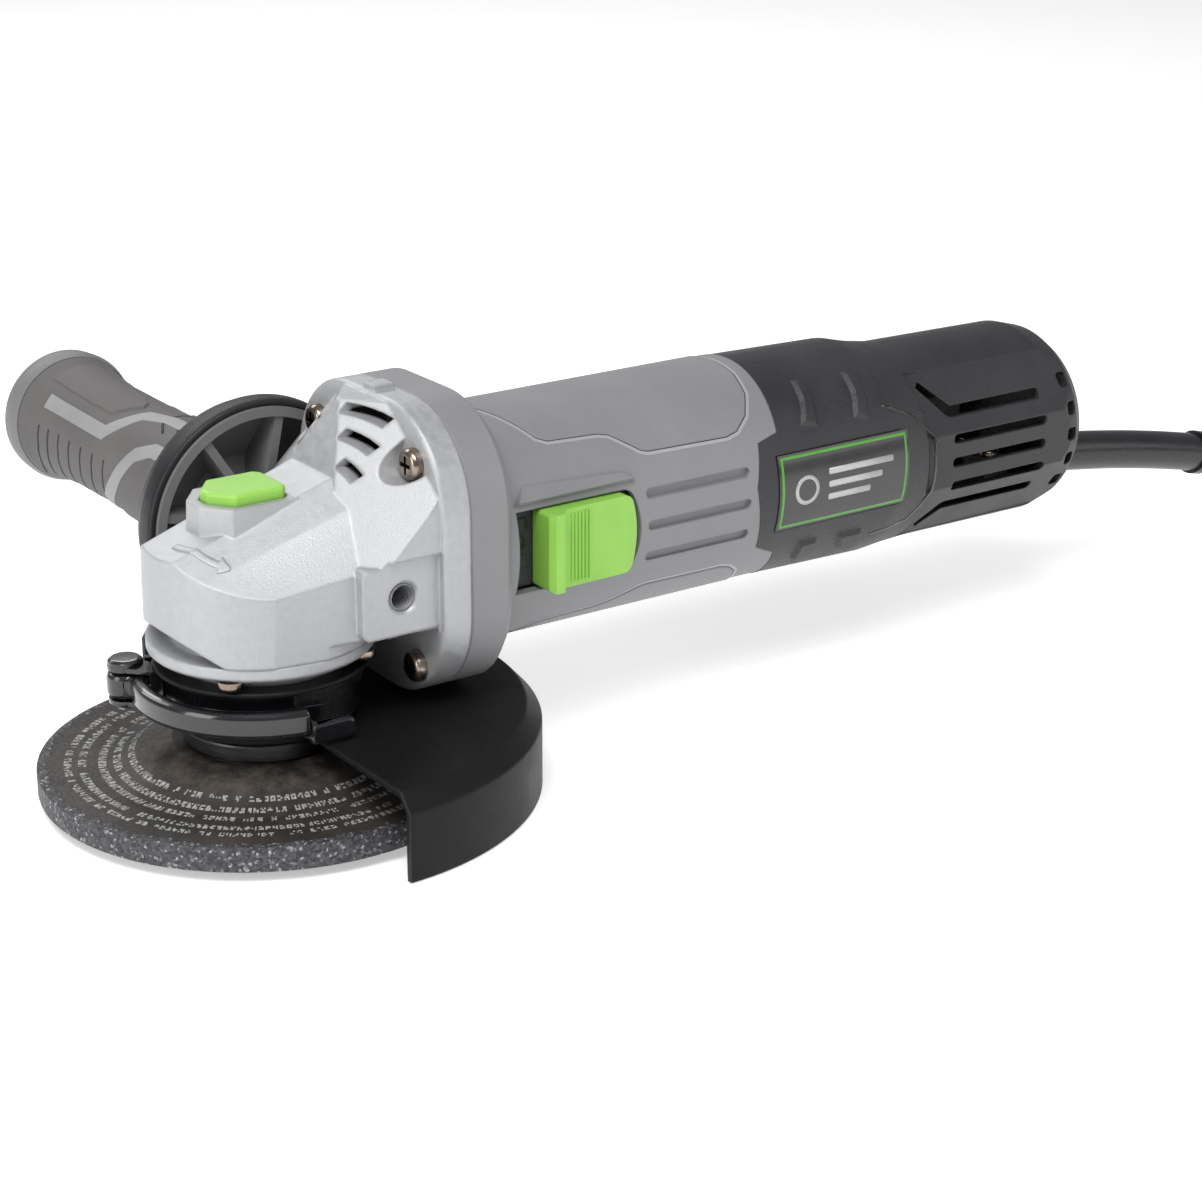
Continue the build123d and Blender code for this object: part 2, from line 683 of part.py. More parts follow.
# ---- housing outlines ----
parting = [(146, 95), (145.2, 88.7), (143, 74.8), (136, 73.2), (133.5, 62), (136, 44), (143.7, 40.5),
           (147.5, 29), (148, 20), (300, 20), (300, 95)]
rear_sections = [(128, body_r, 58.5), (143, body_r, 58.4), (184, 30.9, 57.5), (192, 29.6, 56.8),
                 (202, rear_r + 0.2, 56.2), (249, rear_r, 55.7), (256, 26.6, 55.6), (260, 23.6, 55.6),
                 (rear_x, 19.5, 55.6)]


def rear_solid(inset, stop):
    """Rear housing as a solid, drawn in by inset and ending at stop."""
    with BuildPart() as body:
        for x, radius, z in rear_sections:
            with BuildSketch(across(min(x, stop), z)):
                Circle(radius - inset)
            if x >= stop:
                break
        loft(ruled=True)
    return body


def behind_parting():
    """Everything behind the wavy joint between the grey and the black housing."""
    with BuildPart() as block:
        with BuildSketch(Plane.XZ):
            with BuildLine():
                Polyline(*parting, close=True)
            make_face()
        extrude(amount=60, both=True)
    return block


rear_side = behind_parting()
rear_outside = rear_solid(0, rear_x)
rear_inside = rear_solid(3.1, 258.4)

# ---- motor housing ----
switch_low = 47.0
switch_high = 69.0


def switch_outline(front, rear, gap, bow):
    """Side outline of the switch with its bowed rear end, on a plane of (x, z)."""
    low, high = switch_low + gap, switch_high - gap
    with BuildSketch() as outline:
        with BuildLine():
            Line((front, high), (front, low))
            Line((front, low), (rear - bow, low))
            ThreePointArc((rear - bow, low), (rear, (low + high) / 2), (rear - bow, high))
            Line((rear - bow, high), (front, high))
        make_face()
        fillet(outline.vertices().group_by(Axis.X)[-1], 3.5)
    return outline


opening_outline = switch_outline(57.5, 95.2, 0, 2.4)
slider_outline = switch_outline(60, 93.6, 0.5, 2.4)
with BuildPart() as motor_housing:
    with BuildSketch(across(part_x, flange_z)):
        RectangleRounded(flange_w + 1, flange_h, flange_r + 0.5)
    extrude(amount=13)
    chamfer(motor_housing.edges().group_by(Axis.X)[-1], 2.6)
    with BuildSketch(across(50)):
        Circle(body_r)
    extrude(amount=98)
    add(rear_side.part, mode=Mode.SUBTRACT)
    # bore, exhaust pocket and screw bosses
    with BuildSketch(across(part_x)):
        Circle(28.3)
    extrude(amount=109, mode=Mode.SUBTRACT)
    with BuildSketch(across(part_x, flange_z)):
        RectangleRounded(flange_w - 6, flange_h - 6, flange_r - 4)
        with Locations((0, -21)):
            Rectangle(90, 80, mode=Mode.SUBTRACT)
    extrude(amount=9, mode=Mode.SUBTRACT)
    with BuildSketch(across(part_x)):
        with GridLocations(2 * screw_y, 2 * screw_z, 2, 2):
            Circle(4.6)
        Circle(28.3, mode=Mode.SUBTRACT)
    extrude(amount=12)
    with BuildSketch(across(part_x)):
        with GridLocations(2 * screw_y, 2 * screw_z, 2, 2):
            Circle(2.15)
    extrude(amount=12, mode=Mode.SUBTRACT)
    # inner tube with the rear bearing's seat on four arms
    with BuildSketch(across(132)):
        Circle(27.2)
        Circle(25.7, mode=Mode.SUBTRACT)
        Rectangle(60, 9, mode=Mode.SUBTRACT)
        Rectangle(12, 60, mode=Mode.SUBTRACT)
    extrude(amount=26)
    with BuildSketch(across(148.4)):
        Circle(14.2)
        Rectangle(38, 5, rotation=45)
        Rectangle(38, 5, rotation=-45)
        Circle(5.6, mode=Mode.SUBTRACT)
    extrude(amount=9.6)
    with BuildSketch(across(148.4)):
        with PolarLocations(22.4, 4, start_angle=45):
            Rectangle(9, 5)
    extrude(amount=9.6)
    with BuildSketch(across(149.8)):
        Circle(12.2)
    extrude(amount=20, mode=Mode.SUBTRACT)
    # bridge from the outer wall to the inner tube
    with BuildSketch(across(126)):
        with PolarLocations(27.4, 4, start_angle=45):
            Rectangle(2.6, 10)
    extrude(amount=10)
    # shoulders and ribs that hold the stator
    with BuildSketch(across(114)):
        with PolarLocations(27.1, 4, start_angle=45):
            Rectangle(2.8, 8)
    extrude(amount=6)
    with BuildSketch(across(60)):
        with PolarLocations(28.0, 4, start_angle=45):
            Rectangle(1.0, 5)
    extrude(amount=54)
    # switch opening
    with BuildSketch(Plane(origin=(0, -22, 0), x_dir=(1, 0, 0), z_dir=(0, -1, 0))):
        add(opening_outline.sketch)
    extrude(amount=12, mode=Mode.SUBTRACT)
    # three grooves behind the switch
    for up in (8.2, -0.2, -8.9):
        groove_floor = (body_r ** 2 - up ** 2) ** 0.5 - 1.3
        with BuildSketch(Plane(origin=(0, -groove_floor, 0), x_dir=(1, 0, 0), z_dir=(0, -1, 0))):
            with Locations((114.5, motor_z + up)):
                SlotOverall(34, 2.6)
        extrude(amount=6, mode=Mode.SUBTRACT)
save(motor_housing, "motor_housing")

# ---- switch ----
with BuildPart() as switch_plate:
    with Locations((78.5, -25.35, motor_z)):
        Box(45, 0.9, 21.6)
    with Locations((60.8, -25.95, 54.6), (60.8, -25.95, 64.4)):
        Box(3.4, 0.3, 3.4)
save(switch_plate, "switch_plate")

with BuildPart() as switch_slider:
    with BuildSketch(Plane.XY.offset(switch_low + 0.5)):
        with BuildLine():
            Polyline((64.5, -26.2), (64.5, -33.6), (65.6, -35.5), (68.2, -35.5), (70.2, -32.6),
                     (90, -32.1), (94, -31.0), (94, -26.2), close=True)
        make_face()
    extrude(amount=switch_high - switch_low - 1)
    fillet(switch_slider.edges().filter_by(Axis.Y).group_by(Axis.X)[0], 1.2)
    with BuildSketch(Plane(origin=(0, -20, 0), x_dir=(1, 0, 0), z_dir=(0, -1, 0))):
        add(slider_outline.sketch)
    extrude(amount=20, mode=Mode.INTERSECT)
    with Locations((95.5, -26.8, motor_z)):
        Box(7, 1.2, 10)
save(switch_slider, "switch_slider")

with BuildPart() as switch_rod:
    with Locations((134, -26.8, motor_z)):
        Box(70, 1.2, 4.4)
    with Locations((167.5, -19, motor_z)):
        Box(3, 16.8, 4.4)
save(switch_rod, "switch_rod")

with BuildPart() as switch_module:
    with Locations((184, 0, motor_z)):
        Box(25, 21, 19)
    fillet(switch_module.edges(), 1)
    with Locations((170.8, -7.2, motor_z)):
        Box(1.5, 5, 7)
save(switch_module, "switch_module")

with BuildPart() as capacitor:
    with BuildSketch(across(204, 62)):
        RectangleRounded(13, 16, 3)
    extrude(amount=24)
save(capacitor, "capacitor")

# ---- rear housing ----
shell_screws = [(204, 75.5), (204, 36.0), (246, 74.5)]


def rear_shell(side):
    """One half of the rear housing; side is -1 for the half away from the side handle."""
    with BuildPart() as shell:
        add(rear_outside.part)
        add(rear_inside.part, mode=Mode.SUBTRACT)
        # screw bosses, trimmed to the outside
        with BuildSketch(Plane.XZ):
            with Locations(*shell_screws):
                Circle(3.4)
        extrude(amount=-side * 26)
        add(rear_outside.part, mode=Mode.INTERSECT)
        add(rear_side.part, mode=Mode.INTERSECT)
        # flats along the grip
        with BuildSketch(across(196, 55.9)):
            for up in (1, -1):
                with BuildLine():
                    Polyline((side * 15.4, up * 23.7), (side * 27.2, up * 7.8), (side * 40, up * 7.8),
                             (side * 28, up * 38), close=True)
                make_face()
            with Locations((side * 32.2, 0)):
                Rectangle(10, 15.6)
        extrude(amount=80, mode=Mode.SUBTRACT)
        with BuildSketch(Plane.XZ):
            with Locations(*shell_screws):
                Circle(1.55)
        extrude(amount=-side * (12.5 if side < 0 else 30), mode=Mode.SUBTRACT)
        # side vents, the outer ones with a tail
        with BuildSketch(Plane.XZ):
            with Locations((225, 69), (225, 62), (225, 55), (225, 48), (225, 41)):
                SlotOverall(36, 2.8)
            with BuildLine():
                Polyline((209, 70.4), (201, 77.4), (199.6, 76.2), (207, 67.8), close=True)
            make_face()
            with BuildLine():
                Polyline((209, 39.6), (202.6, 34.2), (201.6, 35.4), (207, 42.2), close=True)
            make_face()
        extrude(amount=-side * 40, mode=Mode.SUBTRACT)
        # small vents round the end
        with BuildSketch(Plane.XZ):
            with Locations((253.4, 71), (253.6, 63.4), (253.7, 55.8), (253.6, 48.2), (253.4, 40.6)):
                RectangleRounded(3.6, 3.8, 1)
        extrude(amount=-side * 40, mode=Mode.SUBTRACT)
        # hole for the cord sleeve
        with BuildSketch(across(240, sleeve_z)):
            Circle(6.7)
        extrude(amount=40, mode=Mode.SUBTRACT)
        # keep this half only
        split(bisect_by=Plane.XZ, keep=Keep.TOP if side < 0 else Keep.BOTTOM)
    return shell


label_recess = [ring_sector(140.7, 187.3, 30.3, 40, middle - 20.3, middle + 20.3) for middle in (-90, 90)]
rear_near = rear_shell(-1)
rear_near.part = rear_near.part - label_recess[0].part
save(rear_near, "rear_shell_near")
rear_far = rear_shell(1)
rear_far.part = rear_far.part - label_recess[1].part
rear_far.part = rear_far.part - [Pos(x, 24, z) * Rot(90, 0, 0) * Cylinder(3.2, 18) for x, z in shell_screws]
save(rear_far, "rear_shell_far")

label_near = ring_sector(141, 187, 30.35, 31.2, -110, -70)
save(label_near, "label_near")
label_far = ring_sector(141, 187, 30.35, 31.2, 70, 110)
save(label_far, "label_far")

housing_screws = pan_screw(Plane(origin=(0, 15, 0), x_dir=(-1, 0, 0), z_dir=(0, 1, 0)),
                           [(-x, z) for x, z in shell_screws], 2.9, 2.2, 1.5, 26)
save(housing_screws, "housing_screws")

# ---- cord sleeve and clamp ----
sleeve_path = Edge.make_three_point_arc((258, 0, sleeve_z), (298, 0, 36.4), (339, 0, 28.2))
sleeve_start = Plane(origin=sleeve_path @ 0, x_dir=(0, 1, 0), z_dir=sleeve_path % 0)
sleeve_end = Plane(origin=sleeve_path @ 1, x_dir=(0, 1, 0), z_dir=sleeve_path % 1)
with BuildPart() as cord_sleeve:
    with BuildSketch(sleeve_start):
        Circle(6.0)
        Circle(4.2, mode=Mode.SUBTRACT)
    sweep(path=sleeve_path)
    with BuildSketch(sleeve_end):
        Circle(6.9)
        Circle(4.2, mode=Mode.SUBTRACT)
    extrude(amount=-3.4)
    with BuildSketch(sleeve_start):
        Circle(6.0)
        Circle(4.2, mode=Mode.SUBTRACT)
    extrude(amount=-9.5)
    with BuildSketch(sleeve_start.offset(-7)):
        Circle(7.6)
        Circle(4.2, mode=Mode.SUBTRACT)
    extrude(amount=-2.5)
save(cord_sleeve, "cord_sleeve")

with BuildPart() as cord_clamp:
    with BuildSketch(across(234, sleeve_z)):
        Rectangle(24, 11)
        Circle(4.0, mode=Mode.SUBTRACT)
    extrude(amount=9)
    with Locations((238.5, 8.6, sleeve_z), (238.5, -8.6, sleeve_z)):
        Cylinder(1.6, 30, mode=Mode.SUBTRACT)
save(cord_clamp, "cord_clamp")

clamp_screws = pan_screw(Plane.XY.offset(sleeve_z + 5.5), [(238.5, 8.6), (238.5, -8.6)], 2.9, 2.2, 1.5, 10.6)
save(clamp_screws, "clamp_screws")

# ---- side handle ----
handle_stud = turned([(19.6, 0), (19.6, 2.9), (20.4, stud_r), (76, stud_r), (76, 0)],
                     along_handle, handle_axis)
save(handle_stud, "handle_stud")

with BuildPart() as spoke_block:
    with BuildSketch(Plane(origin=(handle_x, 37.9, handle_z), x_dir=(1, 0, 0), z_dir=(0, 1, 0))):
        with PolarLocations(19, 8, start_angle=12):
            Rectangle(21, 2.4)
    extrude(amount=20)
spoke_room = turned([(37.9, 0), (37.9, 31), (45.4, 31), (53.5, 15), (53.5, 0)], along_handle, handle_axis)
spokes = spoke_block.part & spoke_room.part

with BuildPart() as handle_core:
    with BuildSketch(along_handle):
        with BuildLine():
            Polyline((33.3, 3.6), (33.3, 9.8), (49, 10.8), (51.2, 15), (43.4, 28.6), (37.2, 28.6),
                     (37.2, 31.2), (46.2, 31.2), (54, 15.2), (54, 12), (154, 12), (154, 18.8),
                     (157, 19.6), (161.4, 19.3), (163, 17.6), (163, 10), (161.5, 9), (161.5, 0),
                     (77, 0), (77, 3.6), close=True)
        make_face()
    revolve(axis=handle_axis)
    add(spokes)
    with BuildSketch(Plane(origin=(handle_x, 33, handle_z), x_dir=(1, 0, 0), z_dir=(0, 1, 0))):
        Circle(3.6)
    extrude(amount=44, mode=Mode.SUBTRACT)
save(handle_core, "handle_core")

handle_grip = turned([(54.2, 12.05), (54.2, 15.0), (60, 15.9), (85, 16.4), (110, 16.0), (135, 16.2),
                      (148, 17.3), (153.8, 18.8), (153.8, 12.05)], along_handle, handle_axis)
save(handle_grip, "handle_grip")

handle_ring = turned([(38.2, 31.25), (38.2, 32.6), (39.2, 33.2), (43.6, 33.2), (47.6, 31.7), (47.6, 31.25)],
                     along_handle, handle_axis)
save(handle_ring, "handle_ring")
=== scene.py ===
import json
import math

import bmesh
import bpy
from mathutils import Matrix, Vector
from mathutils.bvhtree import BVHTree


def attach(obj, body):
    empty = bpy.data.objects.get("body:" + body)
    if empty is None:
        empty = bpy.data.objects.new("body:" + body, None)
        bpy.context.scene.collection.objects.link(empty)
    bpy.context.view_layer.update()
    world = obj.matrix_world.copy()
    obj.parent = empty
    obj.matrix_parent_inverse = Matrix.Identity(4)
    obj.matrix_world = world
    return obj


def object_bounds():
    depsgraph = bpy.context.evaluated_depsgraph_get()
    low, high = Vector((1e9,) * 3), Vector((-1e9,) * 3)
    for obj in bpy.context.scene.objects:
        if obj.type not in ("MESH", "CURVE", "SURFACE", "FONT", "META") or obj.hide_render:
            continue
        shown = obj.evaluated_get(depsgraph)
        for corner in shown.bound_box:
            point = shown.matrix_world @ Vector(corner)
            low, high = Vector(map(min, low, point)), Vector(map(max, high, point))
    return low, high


# Angle grinder for 115 mm discs. Metres, row frame: +Z along the spindle, +X towards the cord,
# +Y towards the side handle.
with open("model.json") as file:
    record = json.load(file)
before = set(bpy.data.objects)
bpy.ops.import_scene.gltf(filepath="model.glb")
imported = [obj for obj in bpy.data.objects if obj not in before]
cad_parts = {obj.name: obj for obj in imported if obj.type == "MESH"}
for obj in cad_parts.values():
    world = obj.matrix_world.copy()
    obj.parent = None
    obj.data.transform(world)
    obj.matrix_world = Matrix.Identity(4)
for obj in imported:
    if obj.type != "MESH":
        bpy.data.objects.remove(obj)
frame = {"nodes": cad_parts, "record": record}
cad_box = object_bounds()
nodes = frame["nodes"]

MM = 0.001
MOTOR_Z = 0.0585                        # height of the motor's axis
BODY_R = 0.031                          # outside of the grey motor housing
LABEL_R = 0.0312                        # outside of the label plates
REAR_R = 0.030                          # where outlines on the black housing are unrolled
GRIP_R = 0.016                          # where outlines on the side handle's grip are unrolled
HANDLE = Vector((0.022, 0, 0.055))      # a point on the side handle's axis
SUNK = 0.0003                           # how far a laid-on plate's foot is below the surface
WELD_DISTANCE = 0.000001
SHARP_ANGLE = math.radians(32)          # edges sharper than this are rounded


# ---- materials ----
class Nodes:
    """Short calls that add and link nodes in one material."""

    def __init__(self, name):
        self.material = bpy.data.materials.new(name)
        self.material.use_nodes = True
        self.tree = self.material.node_tree
        self.shader = self.tree.nodes["Principled BSDF"]
        self.place = self.tree.nodes.new("ShaderNodeTexCoord").outputs["Object"]

    def put(self, socket, value):
        if isinstance(value, bpy.types.NodeSocket):
            self.tree.links.new(value, socket)
        else:
            socket.default_value = value

    def math(self, operation, a, b=0.0):
        node = self.tree.nodes.new("ShaderNodeMath")
        node.operation = operation
        for socket, value in zip(node.inputs, (a, b)):
            self.put(socket, value)
        return node.outputs[0]

    def noise(self, scale, detail=2.0, rough=0.5, where=None):
        node = self.tree.nodes.new("ShaderNodeTexNoise")
        node.inputs["Scale"].default_value = scale
        node.inputs["Detail"].default_value = detail
        node.inputs["Roughness"].default_value = rough
        self.tree.links.new(where or self.place, node.inputs["Vector"])
        return node.outputs["Fac"]

    def cells(self, scale):
        """A random colour for each grain."""
        node = self.tree.nodes.new("ShaderNodeTexVoronoi")
        node.inputs["Scale"].default_value = scale
        self.tree.links.new(self.place, node.inputs["Vector"])
        return node.outputs["Color"]

    def ramp(self, value, low, high, a=0.0, b=1.0):
        """Maps low..high to a..b and clamps."""
        node = self.tree.nodes.new("ShaderNodeMapRange")
        for socket, v in zip(node.inputs, (value, low, high, a, b)):
            self.put(socket, v)
        return node.outputs[0]

    def mix(self, factor, a, b):
        node = self.tree.nodes.new("ShaderNodeMix")
        node.data_type = "RGBA"
        self.put(node.inputs["Factor"], factor)
        for socket, v in ((node.inputs[6], a), (node.inputs[7], b)):
            self.put(socket, v if isinstance(v, bpy.types.NodeSocket) else (*v, 1.0))
        return node.outputs[2]

    def axes(self, where=None):
        node = self.tree.nodes.new("ShaderNodeSeparateXYZ")
        self.tree.links.new(where or self.place, node.inputs[0])
        return node.outputs

    def stretch(self, scale):
        node = self.tree.nodes.new("ShaderNodeMapping")
        node.inputs["Scale"].default_value = scale
        self.tree.links.new(self.place, node.inputs["Vector"])
        return node.outputs[0]

    def rounded(self, radius, samples=4):
        """Surface direction with the sharp edges rounded."""
        node = self.tree.nodes.new("ShaderNodeBevel")
        node.samples = samples
        node.inputs["Radius"].default_value = radius
        return node.outputs[0]

    def edges(self):
        """1 along sharp edges, 0 elsewhere."""
        edge_band_width = 0.0006
        geometry = self.tree.nodes.new("ShaderNodeNewGeometry")
        turn = self.tree.nodes.new("ShaderNodeVectorMath")
        turn.operation = "DOT_PRODUCT"
        self.put(turn.inputs[0], self.rounded(edge_band_width))
        self.put(turn.inputs[1], geometry.outputs["True Normal"])
        return self.ramp(turn.outputs["Value"], 0.97, 0.80)

    def random(self, x, y, z):
        """Random 0 to 1 for each whole-number cell."""
        cell = self.tree.nodes.new("ShaderNodeCombineXYZ")
        for socket, value in zip(cell.inputs, (x, y, z)):
            self.put(socket, value)
        node = self.tree.nodes.new("ShaderNodeTexWhiteNoise")
        node.noise_dimensions = "3D"
        self.tree.links.new(cell.outputs[0], node.inputs["Vector"])
        return node.outputs["Value"]

    def bump(self, height, distance, under=None):
        node = self.tree.nodes.new("ShaderNodeBump")
        node.inputs["Strength"].default_value = 1.0
        node.inputs["Distance"].default_value = distance
        self.tree.links.new(height, node.inputs["Height"])
        if under:
            self.tree.links.new(under, node.inputs["Normal"])
        return node.outputs[0]

    def finish(self, color, rough, normal=None, metallic=0.0, coat=0.0, specular=0.5):
        self.put(self.shader.inputs["Base Color"], color)
        self.put(self.shader.inputs["Roughness"], rough)
        self.shader.inputs["Metallic"].default_value = metallic
        self.shader.inputs["Coat Weight"].default_value = coat
        self.shader.inputs["Specular IOR Level"].default_value = specular
        if normal:
            self.put(self.shader.inputs["Normal"], normal)
        return self.material


def textured(name, color, dark, rough, grain, height, metallic=0.0, coat=0.0, cloud=60.0,
             edge=None, edge_wear_and_highlight_amount=0.5, spread=0.1, specular=0.5, round_off=0.0):
    """Moulded, cast or painted finish: cloudy colour, grained bump, uneven roughness, and lighter edges that
    are partly wear and partly a painted highlight.

    Grain and cloud are noise scales, height is the bump's depth and round_off the radius that sharp
    edges are shaded with."""
    m = Nodes(name)
    clouds = m.ramp(m.noise(cloud, 4.0, 0.6), 0.35, 0.65)
    fine = m.noise(grain, 3.0, 0.6)
    tone = m.mix(clouds, dark, color)
    tone = m.mix(m.ramp(fine, 0.3, 0.7, 0.0, 0.35), tone, dark)
    # sharp edges lightened in patches: partly wear, partly a painted highlight along the rounded edge
    if edge:
        worn = m.math("MULTIPLY", m.edges(), m.math("MULTIPLY", m.noise(900, 2.0), edge_wear_and_highlight_amount * 2))
        tone = m.mix(worn, tone, edge)
    roughness = m.ramp(m.math("ADD", clouds, fine), 0.4, 1.6, rough - spread, rough + spread)
    under = m.rounded(round_off, 6) if round_off else None
    return m.finish(tone, roughness, m.bump(fine, height, under=under), metallic, coat, specular)


def brushed(name, color, dark, rough, stretch, height=0.00002):
    """Turned or ground metal with fine lines across the stretch."""
    m = Nodes(name)
    lines = m.noise(60.0, 5.0, 0.7, m.stretch(stretch))
    clouds = m.noise(90.0, 3.0)
    tone = m.mix(m.ramp(lines, 0.3, 0.7), dark, color)
    tone = m.mix(m.ramp(clouds, 0.4, 0.7, 0.0, 0.4), tone, dark)
    return m.finish(tone, m.ramp(lines, 0.3, 0.7, rough - 0.08, rough + 0.1),
                    m.bump(lines, height), metallic=1.0)


def printed_rings(m, radius, angle):
    """1 on made-up marks in rings round the wheel: random cells, in small groups with gaps."""
    cell_length = 0.00042
    lines = 3.0
    blank_cells = 0.36
    group_cells = 4.0
    group_filled = 0.70
    blank_groups = 0.14
    # (radius of the ring's middle, half its width)
    rings = ((0.0498, 0.00095), (0.0462, 0.0010), (0.0412, 0.0010), (0.0375, 0.0010), (0.0338, 0.00085))
    marks = 0.0
    for row, (middle, half) in enumerate(rings):
        across = m.math("DIVIDE", m.math("SUBTRACT", radius, middle), half * 2)
        inside = m.math("LESS_THAN", m.math("ABSOLUTE", across), 0.5)
        column = m.math("FLOOR", m.math("MULTIPLY", angle, middle / cell_length))
        line = m.math("FLOOR", m.math("MULTIPLY", m.math("ADD", across, 0.5), lines))
        cell = m.math("GREATER_THAN", m.random(column, line, float(row)), blank_cells)
        place = m.math("DIVIDE", column, group_cells)
        group = m.math("FLOOR", place)
        filled = m.math("LESS_THAN", m.math("SUBTRACT", place, group), group_filled)
        kept = m.math("GREATER_THAN", m.random(group, 9.0, float(row)), blank_groups)
        on = m.math("MULTIPLY", m.math("MULTIPLY", inside, cell), m.math("MULTIPLY", filled, kept))
        marks = m.math("MAXIMUM", on, marks)
    return marks


def wheel_material():
    """Bonded abrasive: dark resin face with printed rings, and a bare gritty rim and side."""
    brown_starts, brown_full = 0.038, 0.024
    face_height = 0.0075
    rim_starts, rim_full = 0.0548, 0.0553
    side_top = 0.0077
    side_starts, side_full = 0.0560, 0.0570
    m = Nodes("abrasive_grit")
    fine = m.noise(1300.0, 4.0, 0.7)
    shade = m.noise(70.0, 5.0, 0.65)
    x, y, z = m.axes()
    radius = m.math("SQRT", m.math("ADD", m.math("MULTIPLY", x, x), m.math("MULTIPLY", y, y)))
    # resin face, browner towards the middle
    face = m.mix(m.ramp(shade, 0.35, 0.7), (0.016, 0.0132, 0.0112), (0.042, 0.035, 0.029))
    brown = m.math("MULTIPLY", m.ramp(m.noise(160.0, 5.0, 0.7), 0.45, 0.75),
                   m.ramp(radius, brown_starts, brown_full))
    face = m.mix(brown, face, (0.135, 0.112, 0.092))
    marks = printed_rings(m, radius, m.math("ARCTAN2", y, x))
    worn = m.math("MULTIPLY", marks, m.ramp(fine, 0.35, 0.6, 0.35, 0.9))
    upper = m.math("GREATER_THAN", z, face_height)
    face = m.mix(m.math("MULTIPLY", worn, upper), face, (0.43, 0.43, 0.42))
    # bare rim with a ragged border: crowded grains, some of them bright
    grains = m.cells(1500.0)
    grain = m.axes(grains)[0]
    rim_tone = m.mix(m.ramp(grain, 0.0, 1.0), (0.014, 0.014, 0.016), (0.082, 0.082, 0.090))
    rim_tone = m.mix(m.ramp(grain, 0.88, 1.0), rim_tone, (0.34, 0.34, 0.36))
    ragged = m.math("ADD", radius, m.ramp(m.noise(420.0, 3.0), 0.3, 0.7, -0.0012, 0.0012))
    rim = m.ramp(ragged, rim_starts, rim_full)
    low = m.math("LESS_THAN", z, side_top)
    rim = m.math("MAXIMUM", rim, m.math("MULTIPLY", low, m.ramp(radius, side_starts, side_full)))
    tone = m.mix(rim, face, rim_tone)
    grit = m.axes(m.mix(rim, fine, grains))[0]
    height = m.math("ADD", m.math("MULTIPLY", grit, m.ramp(rim, 0, 1, 0.25, 1.0)),
                    m.math("MULTIPLY", shade, 0.3))
    return m.finish(tone, m.ramp(fine, 0.3, 0.7, 0.42, 0.75), m.bump(height, 0.00045))


cast = textured("cast_aluminium", (0.455, 0.460, 0.470), (0.395, 0.400, 0.410), 0.45, 2400.0, 0.00007,
                metallic=0.45, cloud=420.0, edge=(0.66, 0.665, 0.67), edge_wear_and_highlight_amount=0.5, spread=0.09,
                round_off=0.0011)
nickel = brushed("nickel_screw", (0.50, 0.42, 0.36), (0.17, 0.13, 0.105), 0.22, (1, 1, 1), 0.00001)
turned_steel = brushed("turned_steel", (0.52, 0.52, 0.53), (0.32, 0.32, 0.33), 0.30, (1, 1, 12))
dark_flange = brushed("blued_flange", (0.10, 0.095, 0.095), (0.045, 0.045, 0.045), 0.36, (1, 1, 10))
bright_steel = brushed("bright_steel", (0.72, 0.72, 0.74), (0.48, 0.48, 0.50), 0.2, (8, 1, 1))
black_steel = textured("black_coated_steel", (0.0065, 0.0072, 0.0092), (0.004, 0.0043, 0.0052), 0.24, 700.0,
                       0.00002, cloud=45.0, edge=(0.075, 0.075, 0.078), edge_wear_and_highlight_amount=0.35, coat=0.65,
                       spread=0.07)
guard_steel = textured("guard_paint", (0.0070, 0.0070, 0.0075), (0.0045, 0.0045, 0.005), 0.46, 1500.0,
                       0.00005, cloud=35.0, edge=(0.12, 0.12, 0.12), edge_wear_and_highlight_amount=0.4, spread=0.08,
                       specular=0.2)
green = textured("green_moulding", (0.285, 0.585, 0.085), (0.245, 0.52, 0.070), 0.36, 3000.0, 0.00002,
                 cloud=60.0, spread=0.05)
grey_nylon = textured("grey_nylon", (0.237, 0.235, 0.243), (0.212, 0.210, 0.219), 0.50, 2600.0, 0.00006,
                      cloud=35.0, spread=0.07, round_off=0.0007)
# pale grey painted lighter as the highlight on the panels' lip
painted_highlight_lip = textured("grey_nylon_painted_highlight_lip", (0.36, 0.36, 0.37), (0.33, 0.33, 0.34), 0.42, 2600.0, 0.00004,
                    cloud=35.0, spread=0.05)
# near-black painted as the shade in the panels' joints and in the grip's slits
painted_slit_and_joint_shade = textured("joint_shadow", (0.022, 0.022, 0.023), (0.014, 0.014, 0.015), 0.7, 1800.0, 0.00003,
                      cloud=60.0)
black_nylon = textured("black_nylon", (0.0290, 0.0290, 0.0320), (0.0190, 0.0190, 0.0212), 0.44, 1500.0,
                       0.00022, cloud=50.0, spread=0.09, round_off=0.0007)
# glossy near-black: the real colour of the switch's off mark, and painted shade for the housing's groove
black_mark_and_groove_shade = textured("gloss_black_mark_and_groove_shade", (0.010, 0.010, 0.011), (0.007, 0.007, 0.008), 0.22, 900.0,
                       0.00002, cloud=60.0, coat=0.3, spread=0.05)
soft_grip = textured("soft_grip", (0.125, 0.119, 0.116), (0.096, 0.091, 0.089), 0.62, 1700.0, 0.00010,
                     cloud=45.0, specular=0.35)
light_nylon = textured("light_nylon", (0.178, 0.178, 0.180), (0.150, 0.150, 0.152), 0.50, 2400.0, 0.00006,
                       cloud=50.0)
inlay = textured("grip_inlay", (0.285, 0.283, 0.282), (0.245, 0.243, 0.243), 0.52, 2200.0, 0.00005,
                 cloud=60.0)
rubber = textured("black_rubber", (0.020, 0.020, 0.022), (0.011, 0.011, 0.013), 0.50, 1600.0, 0.00009,
                  cloud=70.0, specular=0.35)
sleeve_rubber = textured("sleeve_rubber", (0.016, 0.016, 0.019), (0.009, 0.009, 0.011), 0.28, 700.0,
                         0.00003, cloud=60.0, spread=0.06)
